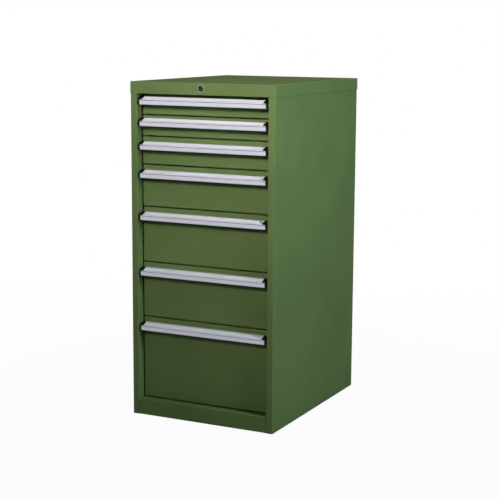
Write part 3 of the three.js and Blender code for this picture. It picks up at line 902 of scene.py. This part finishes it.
# End caps: black ABS, injection moulded, with a dull grain drawn at 0.7 mm. A plate closes the end
# of the rail, a hood over both ridges has its middle in the label channel, and a tongue grips
# under the slope, so each cap pushes on.
cap_abs, tree, spot = start_material("black_abs")
grain = add(tree, "ShaderNodeTexNoise", {"Vector": spot, "Scale": 1400, "Detail": 2})
relief = {"Height": grain.outputs["Fac"], "Strength": 0.3, "Distance": 0.0002}
relief = add(tree, "ShaderNodeBump", relief)
finish_material(
    tree,
    {
        "Base Color": colour("0b0b0c"),
        "Roughness": 0.55,
        "Specular IOR Level": 0.14,
        "Normal": relief.outputs[0],
    },
)
plate_corners = [
    [plate_y, 0.5],
    [-338.25, 0.5],
    [-360.75, -10],
    [-359.25, -28],
    [-349.25, -28],
    [plate_y, plate_foot],
]
plate_outline = rounded(plate_corners, [1.3, 2.5, 2.5, 2.5, 2.5, 1.3])
half_hood = np.array(
    [[3.1, 0.3], [3.1, 1.4], [4.4, 1.4], [4.4, 2.4], [1.8, 2.4], [1.8, 0.2], [0.8, 0.2], [0.8, 3.4]]
)
hood_corners = np.concatenate([half_hood, half_hood[::-1] * (-1, 1) + (slope_length, 0)])
hood_outline = rounded(beside(crest, fold, hood_corners), 0.25)
tongue_corners = [[3.1, -2.1], [16.6, -2.1], [19.5, -4.1], [19.5, -7.1], [3.1, -7.1]]
tongue_outline = rounded(beside(crest, fold, tongue_corners), 0.6)
cap_start = 245.4
cap_end = 252.4
hood_start = 236.1
tongue_start = 233.1
joined_end = 247.1
for number, grip_top in enumerate(grip_tops, 1):
    rise = (0, grip_top)
    for side, sign in sides:
        shells = [
            carried(plate_outline + rise, "x", sign * cap_start, sign * cap_end, 1.2),
            carried(hood_outline + rise, "x", sign * hood_start, sign * joined_end, 0.2),
            carried(tongue_outline + rise, "x", sign * tongue_start, sign * joined_end, 0.4),
        ]
        cap = make(f"end_cap_{number}_{side}", shells, cap_abs)
        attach(cap, f"drawer_{number}")
        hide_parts(f"grip_cap_{number}_{side}")

# Roller carriers: the middle members of the slides, a zinc-plated bar with two rollers on each
# face. The rollers are black acetal, a slippery half gloss with wear in patches 3 mm across, turned
# with a recess in each face. They run on pins that are riveted in the bar.
roller_acetal = patchy("black_acetal", "1b1c1e", 300, 0.28, 0.45, Specular_IOR_Level=0.4)
carrier_start = -293.95
carrier_half = 12
carrier_corner = 3
carrier_edge = 0.4
carrier_faces = (245, 247.5)
outer_face = 252.3
inner_face = 240.2
roller_radius = 10
roller_width = 7
roller_apart = 255.4
pin_sides = 16
outer_y = slide_end - roller_radius
inner_y = carrier_start + roller_radius
roller_places = (
    (outer_y, outer_face, 1),
    (outer_y - roller_apart, outer_face, 1),
    (inner_y, inner_face, -1),
    (inner_y + roller_apart, inner_face, -1),
)

# Each profile gives the distance from the roller's near face, away from the bar, and the radius.
# The pin has a collar before the roller, a core in it, and a riveted head behind the bar.
half_roller = np.array(
    [(0, 4.2), (0, 5.2), (0.6, 5.8), (0.6, 8.2), (0, 8.8), (0, 9.4), (0.2, 9.8), (0.6, 10)]
)
roller_profile = np.concatenate([half_roller, half_roller[::-1] * (-1, 1) + (roller_width, 0)])
pin_collar = np.array([(-0.4, 3.5), (-6.3, 3.5)])
pin_core = np.array([(6.6, 2.2), (6.6, 3.4), (0.2, 3.4), (0, 3.2)])
pin_head = np.array([(-8.7, 1.6), (-8.5, 3.2), (-7.9, 4.4), (-7.3, 4.8), (-7.1, 4.8)])
for number, floor_z in enumerate(drawer_floors, 1):
    middle = floor_z + slide_rise
    bar_low = (carrier_start, middle - carrier_half)
    bar_high = (slide_end, middle + carrier_half)
    bar = rounded(rectangle(bar_low, bar_high), carrier_corner)
    for side, sign in sides:
        near, far = carrier_faces
        metal = [carried(bar, "x", sign * near, sign * far, carrier_edge)]
        tyres = []
        for y, face, away in roller_places:
            flip, shift = (sign * away, 1), (sign * face, 0)
            tyres.append(turned(roller_profile * flip + shift, "x", (y, middle)))
            metal += [
                turned(profile * flip + shift, "x", (y, middle), pin_sides)
                for profile in (pin_collar, pin_core, pin_head)
            ]
        carrier = make(f"carrier_bar_{number}_{side}", metal, channel_zinc)
        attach(carrier, f"carriers_{number}")
        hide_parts(f"roller_carrier_{number}_{side}")
        rollers = make(f"carrier_rollers_{number}_{side}", tyres, roller_acetal)
        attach(rollers, f"carriers_{number}")
        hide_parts(f"roller_carrier_{number}_{side}")

# Lock: a turned brass barrel, nickel plated, clamped in the top rail by a hexagon nut, with a thin
# satin rosette under its flange. Its key plug is a darker nickel, and turns a cam whose pin lifts
# the lock bar. The gloss of the plating varies in patches 2 mm across, where hands have been.
lock_centre = (0, 1181)
lock_sides = 48
barrel_nickel = patchy("nickel_plate", "4a4b4d", 500, 0.18, 0.32, Metallic=1)
plug_nickel = patchy("darker_nickel", "29292c", 500, 0.25, 0.45, Metallic=1)
rosette_nickel = patchy("satin_nickel", "82847e", 500, 0.5, 0.65, Metallic=1)


def lock_turned(profile, centre=lock_centre, count=lock_sides, loop=False):
    """A turned part of the lock. Its profile gives the distance behind the front of the top rail,
    and the radius."""
    return turned(np.add(profile, (front_y, 0)), "y", centre, count, loop)


def lock_rings(stack):
    """Rings round the lock's axis, each with its distance behind the front of the top rail."""
    return [placed(ring + lock_centre, "y", front_y + behind) for ring, behind in stack]


barrel_profile = [
    (-2.5, 6.7),
    (-2.5, 9.6),
    (-2.25, 10.1),
    (-1.75, 10.4),
    (-1.15, 10.5),
    (-0.3, 10.5),
    (-0.3, 9),
    (19.65, 9),
    (20, 8.7),
    (20, 6.6),
    (-2.25, 6.6),
]
barrel = make("lock_sleeve", [lock_turned(barrel_profile, loop=True)], barrel_nickel)
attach(barrel, "carcass")
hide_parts("lock_barrel")

rosette_profile = [
    (-0.05, 9.2),
    (-0.05, 14),
    (-0.45, 14),
    (-0.75, 13.8),
    (-0.95, 13.3),
    (-0.95, 11.4),
    (-0.75, 11),
    (-0.25, 10.8),
    (-0.25, 9.2),
]
rosette = make("lock_rosette", [lock_turned(rosette_profile, loop=True)], rosette_nickel)
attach(rosette, "carcass")

nut_flats = 24
nut_edge = 0.6
angle = np.arange(6) * math.pi / 3
hexagon = np.stack([np.cos(angle), np.sin(angle)], 1) * nut_flats / math.sqrt(3)
hexagon = rounded(hexagon, nut_edge)
circle = unit(hexagon)
nut_stack = (
    (circle * 9.3, 2.1),
    (circle * 9.7, 1.8),
    (circle * 11.6, 1.8),
    (hexagon, 2.55),
    (hexagon, 5.05),
    (circle * 11.6, 5.8),
    (circle * 9.7, 5.8),
    (circle * 9.3, 5.5),
)
nut = make("lock_hexagon_nut", [shell(lock_rings(nut_stack), loop=True)], channel_zinc)
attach(nut, "carcass")
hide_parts("lock_nut")

# The pin stands on the cam, 8 mm from the axis and 45 degrees below its right at rest.
pin_arm = 8
pin_x = 5.66
pin_z = lock_centre[1] - pin_x
key_half = np.array((1, 4))
key_slot = rounded(rectangle(-key_half, key_half), 0.5, steps=4)
circle = unit(key_slot / (1, key_half[1]))
plug_stack = (
    (key_slot, 4.2),
    (key_slot, -1.5),
    (key_slot * (1.25, 1.06), -1.8),
    (circle * 5.6, -1.8),
    (circle * 6.1, -1.6),
    (circle * 6.3, -1.1),
    (circle * 6.3, 20.5),
)
cam_profile = [(20.3, 6), (20.3, 10.6), (20.65, 11), (22.95, 11), (23.3, 10.6), (23.3, 6)]
pin_profile = [(22.85, 3), (27.85, 3), (28.3, 2.5), (28.3, 1)]
plug = make(
    "lock_key_plug",
    [
        shell(lock_rings(plug_stack)),
        lock_turned(cam_profile),
        lock_turned(pin_profile, (pin_x, pin_z), 24),
    ],
    plug_nickel,
)
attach(plug, "lock_plug")
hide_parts("lock_plug")


# Lock bar: zinc-plated steel, 2.5 mm thick. An arm with a slot for the cam's pin is welded to a
# folded upright behind the right stile, with a finger for each drawer. The slot is sawn out of the
# arm, so that its wall has the arm's whole thickness.
def sawn(piece, cutter):
    """Takes one shell out of an object with the Boolean modifier, and keeps the result as its
    mesh."""
    tool = make("cutter", [cutter], piece.data.materials[0])
    cut = piece.modifiers.new("cut", "BOOLEAN")
    cut.object = tool
    cut.operation = "DIFFERENCE"
    result = applied(piece)
    piece.modifiers.clear()
    piece.data = result
    result.set_sharp_from_angle(angle=crease)
    bpy.data.objects.remove(tool)


bar_sheet = 2.5
bar_front = front_y + 24.3
bar_back = front_y + 57
arm_start = -14
arm_end = 257.2
arm_half = 9
arm_top = pin_z + arm_half
arm_corner = 5
slot_half = 3.6
slot_corner = 3.3
saw_front = -340
saw_back = -330
arm_outline = rounded(
    rectangle((arm_start, pin_z - arm_half), (arm_end, arm_top)),
    [arm_corner, cut_edge, cut_edge, arm_corner],
)
arm_shell = carried(arm_outline, "y", bar_front, bar_front + bar_sheet)
arm = make("lock_bar_arm", [arm_shell], channel_zinc)
slot_outline = rounded(
    rectangle((pin_x - slot_half, pin_z - slot_half), (pin_arm + slot_half, pin_z + slot_half)),
    slot_corner,
)
sawn(arm, carried(slot_outline, "y", saw_front, saw_back))
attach(arm, "lock_bar")
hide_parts("lock_bar")

leg_x = 257
leg_wide = 14
finger_rise = 27.5
finger_tall = 4
finger_thick = 3
finger_tip = 247.8
finger_root = 257.5
finger_edge = 0.6
leg_path = [[leg_x, bar_back], [leg_x, bar_front], [leg_x + leg_wide, bar_front]]
leg_outline = folded(leg_path, bar_sheet, bend)
bar_parts = [carried(leg_outline, "z", drawer_floors[-1] + finger_rise, arm_top)]
finger = rectangle((finger_tip, bar_back - finger_thick), (finger_root, bar_back))
finger = rounded(finger, finger_edge)
for floor_z in drawer_floors:
    finger_z = floor_z + finger_rise
    bar_parts.append(carried(finger, "z", finger_z, finger_z + finger_tall))
lock_bar = make("lock_bar_upright", bar_parts, upright_zinc)
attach(lock_bar, "lock_bar")
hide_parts("lock_bar")
